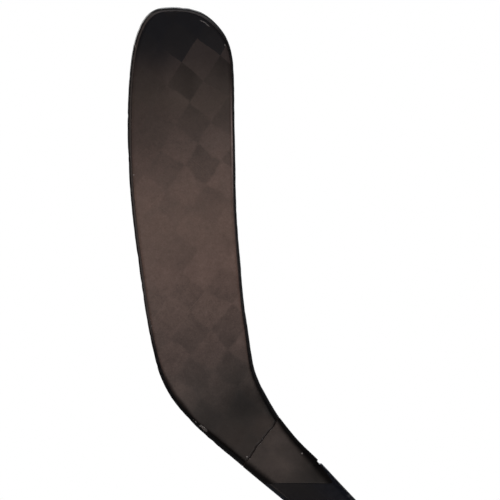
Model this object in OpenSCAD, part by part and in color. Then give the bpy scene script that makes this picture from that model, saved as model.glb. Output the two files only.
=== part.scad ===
// Composite ice hockey replacement blade: curved paddle, hosel and plug-in tenon.
// Right-handed pattern, toe up. Origin at the centre of the shoulder face where the
// tenon leaves the hosel. +Z runs up toward the toe, -Y is the forehand side,
// +X is the side of the top edge.

/* [Blade] */
// Heel corner to toe tip
blade_len = 273; // [255:1:295]
// Height of the face at mid blade, bottom edge to top edge
blade_h = 76; // [70:0.5:82]
// How far the toe is bent toward the forehand side
curve_depth = 47; // [30:1:56]
// Opening of the face at the toe tip, degrees
open_face = 11; // [4:0.5:15]
// Height above the shoulder at which the curve starts
curve_start = 131; // [115:1:150]
// Thickness at the toe
toe_t = 4.4; // [4:0.1:6]
// Thickness at mid blade
mid_t = 5.8; // [5:0.1:7]
// Thickness where the face ends at the seam
seam_t = 10.6; // [9.6:0.1:12]

/* [Laminates] */
// Thickness of each face laminate
skin_t = 0.9; // [0.6:0.1:1.2]
// Width of the black edge band round the toe
band_w = 2.0; // [1.8:0.1:2.6]
// Width of the rib between the two mid cores
rib_w = 3; // [2:0.5:6]
// Wall of the hosel wrap and the end sleeve
wrap_t = 1.2; // [0.8:0.1:1.2]
// Clearance left between bonded pieces
gap = 0.05; // [0.03:0.01:0.08]

/* [Shoulder] */
// Width of the shoulder, flush with a senior shaft
shaft_w = 31; // [30:0.5:32]
// Thickness of the shoulder, flush with a senior shaft
shaft_t = 20; // [19.6:0.1:20.6]
// Corner radius of the shoulder
shaft_r = 4.5; // [3.5:0.5:5]
// Length of the collar behind the shoulder face
collar_len = 3; // [2:0.5:5]

/* [Tenon] */
// Width of the tenon
tenon_w = 24.6; // [24:0.1:25.4]
// Thickness of the tenon
tenon_t = 16.6; // [16:0.1:16.6]
// Length of the tenon in front of the shoulder
tenon_len = 57; // [45:1:70]
// Wall of the tenon
tenon_wall = 2.2; // [1.6:0.1:3]
// Depth of the tenon root inside the hosel
root_len = 12; // [8:0.5:12]
// Thickness of a hot-melt glue strip
glue_t = 0.3; // [0.2:0.05:0.4]

/* [Hidden] */

black = [0.07, 0.07, 0.08];
carbon = [0.29, 0.25, 0.23];
foam = [0.86, 0.83, 0.72];

lie = 43.5;                       // shaft axis below horizontal, toe pointing up
axis_tilt = 3;                    // lean of the blade's long axis
seam_s = 21;                      // station of the seam
web_toe = 3.5;                    // stations of the two cross webs
web_heel = 16;
end_s = 26;                       // station of the shoulder
sleeve_s = 23.2;                  // station where the end sleeve starts

// Outline stations from the toe tip to the shoulder: [bottom edge x, z, top edge x, z].
STATIONS = [
    [-141.9, 377.0, -128.5, 377.0], [-147.6, 375.9, -122.1, 375.9],
    [-152.6, 372.9, -115.7, 373.6], [-156.5, 368.6, -110.0, 370.0],
    [-159.5, 363.1, -104.7, 365.2], [-162.5, 354.9,  -98.6, 357.1],
    [-165.4, 341.1,  -94.4, 344.6], [-167.3, 321.2,  -93.0, 325.5],
    [-168.1, 298.5,  -92.7, 303.5], [-167.9, 275.8,  -92.2, 280.7],
    [-166.8, 252.3,  -91.9, 258.0], [-164.7, 228.9,  -91.2, 236.0],
    [-162.0, 206.2,  -89.9, 214.7], [-158.8, 183.5,  -88.1, 193.4],
    [-155.0, 157.9,  -85.9, 169.3], [-150.8, 136.6,  -82.9, 148.7],
    [-145.5, 117.4,  -80.7, 133.1], [-136.6, 100.0,  -78.5, 122.1],
    [-124.9,  86.2,  -74.9, 112.5], [-112.5,  74.1,  -70.2, 103.2],
    [ -99.7,  63.3,  -66.0,  95.8], [ -86.9,  52.5,  -60.7,  87.5],
    [ -73.8,  41.6,  -47.2,  70.9], [ -58.2,  28.7,  -31.5,  55.5],
    [ -42.5,  15.6,  -17.1,  40.1], [ -26.6,   2.1,   -3.3,  25.6]];

// Blade axis, ruling direction at the shoulder, and shaft axis, in the XZ plane.
up_dir = [-sin(axis_tilt), cos(axis_tilt)];
sh_n = [sin(lie), cos(lie)];
sh_d = [cos(lie), -sin(lie)];

function smooth(a, b, v) = let (f = min(1, max(0, (v - a) / (b - a)))) f * f * (3 - 2 * f);

// Bottom (side 0) and top (side 1) edge stations with the driving sizes applied.
function st(side, k) = k >= end_s
    ? sh_n * (side == 0 ? -shaft_w / 2 : shaft_w / 2)
    : let (r = STATIONS[k],
           b = [r[0], r[1]], t = [r[2], r[3]],
           u = (t - b) / norm(t - b),
           grow = (blade_h - 76) / 2 * (1 - smooth(14, 22, k)) * smooth(-1, 6, k),
           lift = (blade_len - 273) * (1 - smooth(5, 16, k)))
      (side == 0 ? b - u * grow : t + u * grow) + up_dir * lift;

function phantom(side, k) = k < 0 ? st(1 - side, 0) : k > end_s ? 2 * st(side, end_s) - st(side, end_s - 1) : st(side, k);
function edge(side, s) =
    let (k = min(end_s - 1, max(0, floor(s))), f = s - k,
         a = phantom(side, k - 1), b = phantom(side, k), c = phantom(side, k + 1), d = phantom(side, k + 2))
    0.5 * (2 * b + (c - a) * f + (2 * a - 5 * b + 4 * c - d) * f * f + (3 * b - a - 3 * c + d) * f * f * f);
function inward(side, s) =
    let (t = edge(side, s + 0.02) - edge(side, s - 0.02), q = norm(t))
    side == 0 ? [-t[1], t[0]] / q : [t[1], -t[0]] / q;
function inset(side, s, d) = edge(side, s) + d * inward(side, s);

// Middle surface of the paddle: bent toward -Y and opened toward the toe.
toe_up = 384 + blade_len - 273;
function along(x, z) = z * cos(axis_tilt) - x * sin(axis_tilt);
function across(x, z) = x * cos(axis_tilt) + z * sin(axis_tilt) + 112;
function tau(x, z) = max(0, (along(x, z) - curve_start) / (toe_up - curve_start));
function mid_y(x, z) = let (q = tau(x, z)) q <= 0 ? 0
    : -curve_depth * pow(q, 2.2) + across(x, z) * tan(open_face * pow(q, 1.2));
// Point at offset o from the middle surface, measured along its normal.
function sp(p, o) =
    let (x = p[0], z = p[1],
         gx = mid_y(x + 0.5, z) - mid_y(x - 0.5, z), gz = mid_y(x, z + 0.5) - mid_y(x, z - 0.5),
         q = sqrt(1 + gx * gx + gz * gz))
    [x - o * gx / q, mid_y(x, z) + o / q, z - o * gz / q];

// Half thickness, corner radius and band width along the stations.
function ht(s) = lookup(s, [[0, toe_t], [5, toe_t + 0.5], [10, mid_t], [14, mid_t + 0.5], [16, mid_t + 1.1],
    [18, (mid_t + seam_t) / 2], [20, seam_t - 0.9], [21, seam_t], [22, seam_t + 0.9], [23, seam_t + 2.1],
    [24, (seam_t + 2 * shaft_t) / 3 - 2], [25, shaft_t - 2.4], [25.5, shaft_t - 0.8], [26, shaft_t]]) / 2;
function cr(s) = lookup(s, [[0, 1.6], [14, 1.8], [18, 2.4], [21, 3], [24, 4], [25, shaft_r], [26, shaft_r]]);
function bw(s) = lookup(s, [[0, band_w], [14, band_w + 0.2], [18, band_w + 0.8], [21, band_w + 1.6]]);

// ---- solids built from point grids ----
function quad(a, b, c, d, flip) = flip ? [[a, c, b], [a, d, c]] : [[a, b, c], [a, c, d]];

// Solid between two grids of points with the same rows and columns.
module slab(front, back) {
    n = len(front); m = len(front[0]); f = n * m;
    pts = concat([for (r = front) each r], [for (r = back) each r]);
    faces = concat(
        [for (i = [0:n-2], j = [0:m-2]) each quad(i*m+j, i*m+j+1, (i+1)*m+j+1, (i+1)*m+j, false)],
        [for (i = [0:n-2], j = [0:m-2]) each quad(f+i*m+j, f+i*m+j+1, f+(i+1)*m+j+1, f+(i+1)*m+j, true)],
        [for (i = [0:n-2]) each quad(i*m, (i+1)*m, f+(i+1)*m, f+i*m, false)],
        [for (i = [0:n-2]) each quad(i*m+m-1, (i+1)*m+m-1, f+(i+1)*m+m-1, f+i*m+m-1, true)],
        [for (j = [0:m-2]) each quad(j, j+1, f+j+1, f+j, true)],
        [for (j = [0:m-2]) each quad((n-1)*m+j, (n-1)*m+j+1, f+(n-1)*m+j+1, f+(n-1)*m+j, false)]);
    polyhedron(pts, faces, convexity = 6);
}
// Solid through convex rings, capped at both ends.
module loft(rings) {
    n = len(rings); k = len(rings[0]);
    pts = [for (r = rings) each r];
    faces = concat(
        [for (i = [0:n-2], j = [0:k-1]) each quad(i*k+j, i*k+(j+1)%k, (i+1)*k+(j+1)%k, (i+1)*k+j, false)],
        [for (j = [1:k-2]) [0, j+1, j]],
        [for (j = [1:k-2]) [(n-1)*k, (n-1)*k+j, (n-1)*k+j+1]]);
    polyhedron(pts, faces, convexity = 6);
}
// Tube between outer and inner rings, open at both ends.
module tube(outer, inner) {
    n = len(outer); k = len(outer[0]); f = n * k;
    pts = concat([for (r = outer) each r], [for (r = inner) each r]);
    faces = concat(
        [for (i = [0:n-2], j = [0:k-1]) each quad(i*k+j, i*k+(j+1)%k, (i+1)*k+(j+1)%k, (i+1)*k+j, false)],
        [for (i = [0:n-2], j = [0:k-1]) each quad(f+i*k+j, f+i*k+(j+1)%k, f+(i+1)*k+(j+1)%k, f+(i+1)*k+j, true)],
        [for (j = [0:k-1]) each quad(j, (j+1)%k, f+(j+1)%k, f+j, true)],
        [for (j = [0:k-1]) each quad((n-1)*k+j, (n-1)*k+(j+1)%k, f+(n-1)*k+(j+1)%k, f+(n-1)*k+j, false)]);
    polyhedron(pts, faces, convexity = 6);
}

// ---- pieces of the paddle ----
face_end = seam_s - 0.03;
function steps(a, b, n) = [for (i = [0:n]) a + (b - a) * i / n];

// Row of points across the paddle at station s, from fraction t0 to t1 of the inset width.
function row(s, d, t0, t1, m, o) =
    let (b = inset(0, s, d), t = inset(1, s, d))
    [for (j = [0:m]) sp(b + (t - b) * (t0 + (t1 - t0) * j / m), o)];

module skin(sign) {
    ss = steps(0, face_end, 63);
    outer = [for (s = ss) row(s, bw(s) + gap, 0, 1, 5, sign * ht(s))];
    inner = [for (s = ss) row(s, bw(s) + gap, 0, 1, 5, sign * (ht(s) - skin_t))];
    if (sign < 0) slab(outer, inner); else slab(inner, outer);
}
// Part of the inside between stations a and b and fractions t0 and t1.
module fill(a, b, t0, t1, n, m) {
    ss = steps(a, b, n);
    slab([for (s = ss) row(s, bw(s) + 2 * gap, t0, t1, m, -(ht(s) - skin_t - gap))],
         [for (s = ss) row(s, bw(s) + 2 * gap, t0, t1, m, ht(s) - skin_t - gap)]);
}
rib_f = rib_w / 2 / 70;
gap_f = gap / 70;
gap_s = gap / 12;
web_half = 0.07;

module front_skin() { color(carbon) skin(-1); }
module back_skin() { color(carbon) skin(1); }
module toe_core() { color(foam) fill(0, web_toe - web_half - gap_s, 0, 1, 12, 3); }
module lower_core() { color(foam) fill(web_toe + web_half + gap_s, web_heel - web_half - gap_s, 0, 0.5 - rib_f - gap_f, 34, 2); }
module upper_core() { color(foam) fill(web_toe + web_half + gap_s, web_heel - web_half - gap_s, 0.5 + rib_f + gap_f, 1, 34, 2); }
module center_rib() { color(black) fill(web_toe + web_half + gap_s, web_heel - web_half - gap_s, 0.5 - rib_f, 0.5 + rib_f, 34, 1); }
module toe_web() { color(black) fill(web_toe - web_half, web_toe + web_half, 0, 1, 1, 4); }
module heel_web() { color(black) fill(web_heel - web_half, web_heel + web_half, 0, 1, 1, 4); }
module heel_core() { color(foam) fill(web_heel + web_half + gap_s, face_end, 0, 1, 16, 3); }

// Edge band: convex section swept along bottom edge, toe and top edge.
function band_ring(side, s) =
    let (h = ht(s), r = min(cr(s), h - 0.2), w = bw(s),
         prof = concat(
             [for (a = [0:22.5:90]) [r - r * sin(a), -(h - r) - r * cos(a)]],
             [for (a = [90:22.5:180]) [r - r * sin(a), (h - r) - r * cos(a)]],
             [[w, h], [w, -h]]))
    [for (p = prof) sp(inset(side, s, p[0]), p[1])];
module edge_band() {
    ss = steps(0, face_end, 63);
    n = len(ss);
    color(black) loft(concat([for (i = [0:n-1]) band_ring(0, ss[n-1-i])], [for (i = [0:n-1]) band_ring(1, ss[i])]));
}

// ---- pieces of the hosel ----
// Rounded rectangle section at station s, shrunk by e.
function hosel_ring(s, e) =
    let (b = edge(0, s), t = edge(1, s), c = (b + t) / 2, u = (t - b) / norm(t - b),
         w = norm(t - b) / 2 - e, h = ht(s) - e, r = max(0.6, min(cr(s) - e, h - 0.3)))
    [for (q = [[1, 1, 0], [-1, 1, 90], [-1, -1, 180], [1, -1, 270]]) for (a = [0:22.5:90])
        let (x = q[0] * (w - r) + r * cos(q[2] + a), y = q[1] * (h - r) + r * sin(q[2] + a))
        [c[0] + u[0] * x, y, c[1] + u[1] * x]];
loft_end = end_s - (collar_len + gap) / 27.3;

module seam_bead() {
    ss = [seam_s - 0.025, seam_s + 0.025];
    color(black) tube([for (s = ss) hosel_ring(s, 0.1)], [for (s = ss) hosel_ring(s, 1.3)]);
}
module hosel_wrap() {
    ss = steps(seam_s + 0.03, sleeve_s - 0.002, 12);
    color(carbon) tube([for (s = ss) hosel_ring(s, 0)], [for (s = ss) hosel_ring(s, wrap_t)]);
}
module end_sleeve() {
    ss = steps(sleeve_s, loft_end, 16);
    color(black) tube([for (s = ss) hosel_ring(s, 0)], [for (s = ss) hosel_ring(s, wrap_t)]);
}
module hosel_core() {
    ss = steps(seam_s + 0.03, end_s - (root_len + 0.6) / 27.3, 24);
    color(foam) loft([for (s = ss) hosel_ring(s, wrap_t + gap)]);
}

// ---- shoulder and tenon, exact solids in the shaft's own axes ----
// Local axes: x along the shaft, y across its wide face, z toward -Y of the model.
module rounded(w, t, r) {
    x = w / 2 - r; y = t / 2 - r;
    union() {
        square([w, t - 2 * r], center = true);
        square([w - 2 * r, t], center = true);
        for (i = [-1, 1], j = [-1, 1]) translate([i * x, j * y]) circle(r, $fn = 32);
    }
}
// Rounded bar from a to b along the shaft axis.
module bar(a, b, w, t, r) {
    rotate([0, lie, 0]) translate([a, 0, 0]) rotate([0, 90, 0]) linear_extrude(b - a) rounded(w, t, r);
}
module shoulder_collar() {
    color(black) difference() {
        bar(-collar_len, 0, shaft_w, shaft_t, shaft_r);
        bar(-collar_len - 1, 1, tenon_w + 2 * gap, tenon_t + 2 * gap, 2);
    }
}
module tenon() {
    color(black) difference() {
        bar(-root_len, tenon_len, tenon_w, tenon_t, 2);
        bar(-root_len - 1, tenon_len + 1, tenon_w - 2 * tenon_wall, tenon_t - 2 * tenon_wall, 0.8);
    }
}
plug_w = tenon_w - 2 * tenon_wall - 2 * gap;
plug_t = tenon_t - 2 * tenon_wall - 2 * gap;
module tenon_core() { color(foam) bar(-root_len + 0.5, tenon_len - 7, plug_w, plug_t, 0.8); }
module tenon_end_cap() {
    color([0.12, 0.12, 0.13]) union() {
        bar(tenon_len - 6, tenon_len + 0.5, plug_w, plug_t, 0.8);
        bar(tenon_len + gap, tenon_len + 1.5, tenon_w - 0.6, tenon_t - 0.6, 1.8);
    }
}
module glue_strips() {
    color([0.72, 0.6, 0.36]) rotate([0, lie, 0]) {
        for (i = [-1, 1]) translate([tenon_len / 2, i * (tenon_t + glue_t) / 2, 0])
            cube([tenon_len - 14, glue_t, 15], center = true);
        for (i = [-1, 1]) translate([tenon_len / 2, 0, i * (tenon_w + glue_t) / 2])
            cube([tenon_len - 14, 8, glue_t], center = true);
    }
}

front_skin();
back_skin();
edge_band();
toe_core();
upper_core();
lower_core();
heel_core();
center_rib();
toe_web();
heel_web();
seam_bead();
hosel_wrap();
hosel_core();
end_sleeve();
shoulder_collar();
tenon();
tenon_core();
glue_strips();
tenon_end_cap();
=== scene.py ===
import math

import bpy
import numpy as np
from mathutils import Matrix, Vector


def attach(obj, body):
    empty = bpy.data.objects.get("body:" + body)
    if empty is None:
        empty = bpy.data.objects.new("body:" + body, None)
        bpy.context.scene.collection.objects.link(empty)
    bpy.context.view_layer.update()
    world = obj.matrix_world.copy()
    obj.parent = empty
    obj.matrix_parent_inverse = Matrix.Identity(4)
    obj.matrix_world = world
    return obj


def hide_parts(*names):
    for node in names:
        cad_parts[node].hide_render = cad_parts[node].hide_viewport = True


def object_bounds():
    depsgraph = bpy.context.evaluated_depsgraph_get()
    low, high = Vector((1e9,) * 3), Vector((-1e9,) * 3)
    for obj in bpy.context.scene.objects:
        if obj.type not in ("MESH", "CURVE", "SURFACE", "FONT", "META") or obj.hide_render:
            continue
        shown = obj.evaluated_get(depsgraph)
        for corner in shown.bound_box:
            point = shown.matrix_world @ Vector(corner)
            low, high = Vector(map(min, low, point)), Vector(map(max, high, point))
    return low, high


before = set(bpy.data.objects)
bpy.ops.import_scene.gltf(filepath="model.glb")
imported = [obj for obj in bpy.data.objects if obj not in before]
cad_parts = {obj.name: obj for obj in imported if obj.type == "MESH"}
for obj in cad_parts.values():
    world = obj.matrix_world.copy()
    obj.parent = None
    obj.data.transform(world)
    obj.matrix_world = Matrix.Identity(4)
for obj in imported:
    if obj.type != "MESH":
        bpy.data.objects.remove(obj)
CAD_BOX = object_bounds()


# ----------------------------------------------------------------------------
# Shape of the blade. Millimetres; the same rules as the CAD source.
# ----------------------------------------------------------------------------
LIE = math.radians(43.5)
AX = math.radians(3.0)
SH_N = np.array([math.sin(LIE), math.cos(LIE)])
SH_D = np.array([math.cos(LIE), -math.sin(LIE)])
CURVE_DEPTH, OPEN_FACE, CURVE_START, TOE_UP = 47.0, math.radians(11.0), 131.0, 384.0
SHAFT_W, SHAFT_T, SHAFT_R = 31.0, 20.0, 4.5
SKIN_T, GAP, WRAP_T = 0.9, 0.05, 1.2
SEAM_S, SLEEVE_S, END_S = 21.0, 23.2, 26.0
TENON_W, TENON_T, TENON_L, TENON_WALL, ROOT_L = 24.6, 16.6, 57.0, 2.2, 12.0

ST = [
    (-141.9, 377.0, -128.5, 377.0), (-147.6, 375.9, -122.1, 375.9),
    (-152.6, 372.9, -115.7, 373.6), (-156.5, 368.6, -110.0, 370.0),
    (-159.5, 363.1, -104.7, 365.2), (-162.5, 354.9, -98.6, 357.1),
    (-165.4, 341.1, -94.4, 344.6), (-167.3, 321.2, -93.0, 325.5),
    (-168.1, 298.5, -92.7, 303.5), (-167.9, 275.8, -92.2, 280.7),
    (-166.8, 252.3, -91.9, 258.0), (-164.7, 228.9, -91.2, 236.0),
    (-162.0, 206.2, -89.9, 214.7), (-158.8, 183.5, -88.1, 193.4),
    (-155.0, 157.9, -85.9, 169.3), (-150.8, 136.6, -82.9, 148.7),
    (-145.5, 117.4, -80.7, 133.1), (-136.6, 100.0, -78.5, 122.1),
    (-124.9, 86.2, -74.9, 112.5), (-112.5, 74.1, -70.2, 103.2),
    (-99.7, 63.3, -66.0, 95.8), (-86.9, 52.5, -60.7, 87.5),
    (-73.8, 41.6, -47.2, 70.9), (-58.2, 28.7, -31.5, 55.5),
    (-42.5, 15.6, -17.1, 40.1), (-26.6, 2.1, -3.3, 25.6),
]
PTS = [
    np.array([(r[0], r[1]) for r in ST] + [tuple(-SH_N * SHAFT_W / 2)]),
    np.array([(r[2], r[3]) for r in ST] + [tuple(SH_N * SHAFT_W / 2)]),
]


def edge(side, s):
    """Points on the bottom (0) or top (1) edge line at stations s."""
    s = np.atleast_1d(np.asarray(s, float))
    p = PTS[side]
    full = np.vstack([PTS[1 - side][0], p, 2 * p[-1] - p[-2]])
    k = np.clip(np.floor(s).astype(int), 0, len(p) - 2)
    f = (s - k)[:, None]
    a, b, c, d = full[k], full[k + 1], full[k + 2], full[k + 3]
    return 0.5 * (2 * b + (c - a) * f + (2 * a - 5 * b + 4 * c - d) * f ** 2 + (3 * b - a - 3 * c + d) * f ** 3)


def inward(side, s):
    t = edge(side, np.asarray(s) + 0.02) - edge(side, np.asarray(s) - 0.02)
    t /= np.linalg.norm(t, axis=1)[:, None]
    n = np.stack([-t[:, 1], t[:, 0]], 1)
    return n if side == 0 else -n


def along(x, z):
    return z * math.cos(AX) - x * math.sin(AX)


def across(x, z):
    return x * math.cos(AX) + z * math.sin(AX) + 112.0


def mid_y(x, z):
    q = np.maximum(0.0, (along(x, z) - CURVE_START) / (TOE_UP - CURVE_START))
    return -CURVE_DEPTH * q ** 2.2 + across(x, z) * np.tan(OPEN_FACE * q ** 1.2)


def sp(p, o):
    """Plan points p (n, 2) lifted by offset o along the middle surface's normal."""
    x, z = p[..., 0], p[..., 1]
    gx = mid_y(x + 0.5, z) - mid_y(x - 0.5, z)
    gz = mid_y(x, z + 0.5) - mid_y(x, z - 0.5)
    q = np.sqrt(1 + gx * gx + gz * gz)
    return np.stack([x - o * gx / q, mid_y(x, z) + o / q, z - o * gz / q], -1)


def tab(s, xs, ys):
    return np.interp(s, xs, ys)


TOE_T, MID_T, SEAM_T = 4.4, 5.8, 10.6


def ht(s):
    return tab(s, [0, 5, 10, 14, 16, 18, 20, 21, 22, 23, 24, 25, 25.5, 26],
               [TOE_T, TOE_T + 0.5, MID_T, MID_T + 0.5, MID_T + 1.1, (MID_T + SEAM_T) / 2, SEAM_T - 0.9, SEAM_T,
                SEAM_T + 0.9, SEAM_T + 2.1, (SEAM_T + 2 * SHAFT_T) / 3 - 2, SHAFT_T - 2.4, SHAFT_T - 0.8, SHAFT_T]) / 2


def cr(s):
    return tab(s, [0, 14, 18, 21, 24, 25, 26], [1.6, 1.8, 2.4, 3, 4, SHAFT_R, SHAFT_R])


def bw(s):
    return tab(s, [0, 14, 18, 21], [2.0, 2.2, 2.8, 3.6])


def even(side, a, b, step):
    """Stations from a to b, about step mm apart along one edge."""
    ss = np.linspace(a, b, 1500)
    p = edge(side, ss)
    d = np.concatenate([[0], np.cumsum(np.linalg.norm(np.diff(p, axis=0), axis=1))])
    n = max(2, int(round(d[-1] / step)))
    return np.interp(np.linspace(0, d[-1], n + 1), d, ss)


def wob(x, seed, scales, amps):
    """Smooth repeatable unevenness along x, in mm."""
    rng = np.random.default_rng(seed)
    out = np.zeros_like(np.asarray(x, float))
    for L, a in zip(scales, amps):
        ph = rng.uniform(0, 2 * math.pi, 3)
        k = 2 * math.pi / L
        out += a * (np.sin(k * x + ph[0]) + 0.6 * np.sin(1.73 * k * x + ph[1]) + 0.4 * np.sin(2.91 * k * x + ph[2])) / 2
    return out


# ----------------------------------------------------------------------------
# Mesh building
# ----------------------------------------------------------------------------
def make(name, verts_mm, faces, smooth=True, attrs=None, sharp_deg=None):
    me = bpy.data.meshes.new(name)
    v = np.asarray(verts_mm, float) * 0.001
    me.from_pydata(v.tolist(), [], faces)
    me.validate(verbose=False)
    me.update()
    if attrs:
        for k, vals in attrs.items():
            at = me.attributes.new(k, "FLOAT", "POINT")
            at.data.foreach_set("value", np.asarray(vals, np.float32))
    ob = bpy.data.objects.new(name, me)
    bpy.context.scene.collection.objects.link(ob)
    if smooth:
        me.polygons.foreach_set("use_smooth", np.ones(len(me.polygons), bool))
    if sharp_deg is not None:
        me.set_sharp_from_angle(angle=math.radians(sharp_deg))
    return ob


def fix_normals(ob):
    """Turns every face outward."""
    import bmesh
    bm = bmesh.new()
    bm.from_mesh(ob.data)
    bmesh.ops.recalc_face_normals(bm, faces=bm.faces)
    if bm.calc_volume(signed=True) < 0:
        bmesh.ops.reverse_faces(bm, faces=bm.faces)
    bm.to_mesh(ob.data)
    bm.free()


def grid_faces(n, m, base=0, wrap=False, flip=False):
    out = []
    mm = m if wrap else m - 1
    for i in range(n - 1):
        for j in range(mm):
            a = base + i * m + j
            b = base + i * m + (j + 1) % m
            c = base + (i + 1) * m + (j + 1) % m
            d = base + (i + 1) * m + j
            out.append((a, d, c, b) if flip else (a, b, c, d))
    return out


def slab(name, outer, inner, attrs_outer, attrs_inner=None):
    """Closed sheet between two point grids (n, m, 3)."""
    n, m = outer.shape[:2]
    v = np.vstack([outer.reshape(-1, 3), inner.reshape(-1, 3)])
    f0 = n * m
    faces = grid_faces(n, m) + grid_faces(n, m, f0, flip=True)
    for i in range(n - 1):
        a, b = i * m, (i + 1) * m
        faces.append((a, b, f0 + b, f0 + a))
        a, b = i * m + m - 1, (i + 1) * m + m - 1
        faces.append((b, a, f0 + a, f0 + b))
    for j in range(m - 1):
        faces.append((j + 1, j, f0 + j, f0 + j + 1))
        a = (n - 1) * m + j
        faces.append((a, a + 1, f0 + a + 1, f0 + a))
    attrs = {k: np.concatenate([x.ravel(), (attrs_inner or attrs_outer)[k].ravel()]) for k, x in attrs_outer.items()}
    ob = make(name, v, faces, attrs=attrs, sharp_deg=50)
    fix_normals(ob)
    ob.data.set_sharp_from_angle(angle=math.radians(50))
    return ob


# ---- face skins -------------------------------------------------------------
FACE_END = SEAM_S - 0.03


def seam_wave(f):
    """Unevenness of the seam line, in stations, across the face (f 0 bottom to 1 top)."""
    return 0.018 * np.sin(f * 9.0 + 0.6) + 0.012 * np.sin(f * 23.0 + 1.9) + 0.012 * np.sin(f * 41.0)


def across_dir(s):
    """Unit vector along the station line, and how far it runs per mm square to the edges."""
    b, t = edge(0, s), edge(1, s)
    u = (t - b) / np.linalg.norm(t - b, axis=-1, keepdims=True)
    k0 = np.sum(u * inward(0, s), axis=-1)
    k1 = -np.sum(u * inward(1, s), axis=-1)
    return u, k0, k1


def skin(name, sign):
    ss = np.concatenate([even(0, 0.0, 20.0, 1.0)[:-1], np.linspace(20.0, FACE_END, 26)])
    # cross positions: close together at the borders, where the surface rounds down into the groove
    near = np.array([0, 0.1, 0.25, 0.45, 0.7, 1.1])
    rows_o, rows_i, a_d, a_s, a_f = [], [], [], [], []
    for s in ss:
        d = bw(s) + GAP
        b0, t0 = edge(0, s)[0] + inward(0, [s])[0] * d, edge(1, s)[0] + inward(1, [s])[0] * d
        W = np.linalg.norm(t0 - b0)
        e = np.concatenate([near, np.linspace(2.0, W - 2.0, 44), W - near[::-1]])
        f = e / W
        # the seam line is slightly uneven
        fade = max(0.0, (s - 20.0) / (FACE_END - 20.0)) ** 2
        wide = np.linalg.norm(edge(1, s)[0] - edge(0, s)[0])
        ff = (d + f * (wide - 2 * d)) / wide
        sj = s + fade * (seam_wave(ff) * (1 if sign < 0 else 0) - 0.004)
        lean = min(1.0, max(0.0, (s - 20.3) / (FACE_END - 20.3)))
        u, k0, k1 = across_dir(sj)
        w = (bw(sj) + GAP)[:, None]
        bb = edge(0, sj) + w * (inward(0, sj) * (1 - lean) + u / k0[:, None] * lean)
        tt = edge(1, sj) + w * (inward(1, sj) * (1 - lean) - u / k1[:, None] * lean)
        p = bb + (tt - bb) * f[:, None]
        lo = np.minimum(e, W - e)
        r = 0.35
        drop = np.where(lo < r, r - np.sqrt(np.maximum(0, r * r - (r - lo) ** 2)), 0.0)
        end = (FACE_END - s) * 14.0
        if end < r:
            drop = np.maximum(drop, r - math.sqrt(max(0, r * r - (r - end) ** 2)))
        top = s * 6.0
        if top < r and s < 1:
            drop = np.maximum(drop, r - math.sqrt(max(0, r * r - (r - top) ** 2)))
        h = ht(sj)
        rows_o.append(sp(p, sign * (h - drop)))
        rows_i.append(sp(p, sign * (h - SKIN_T)))
        a_d.append(lo + bw(s))
        a_s.append(sj)
        a_f.append(f)
    at = {"d_edge": np.array(a_d), "s_par": np.array(a_s), "f_par": np.array(a_f)}
    return slab(name, np.array(rows_o), np.array(rows_i), at)


front_skin = skin("front_skin_laminate", -1)
back_skin = skin("back_skin_laminate", 1)


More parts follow.
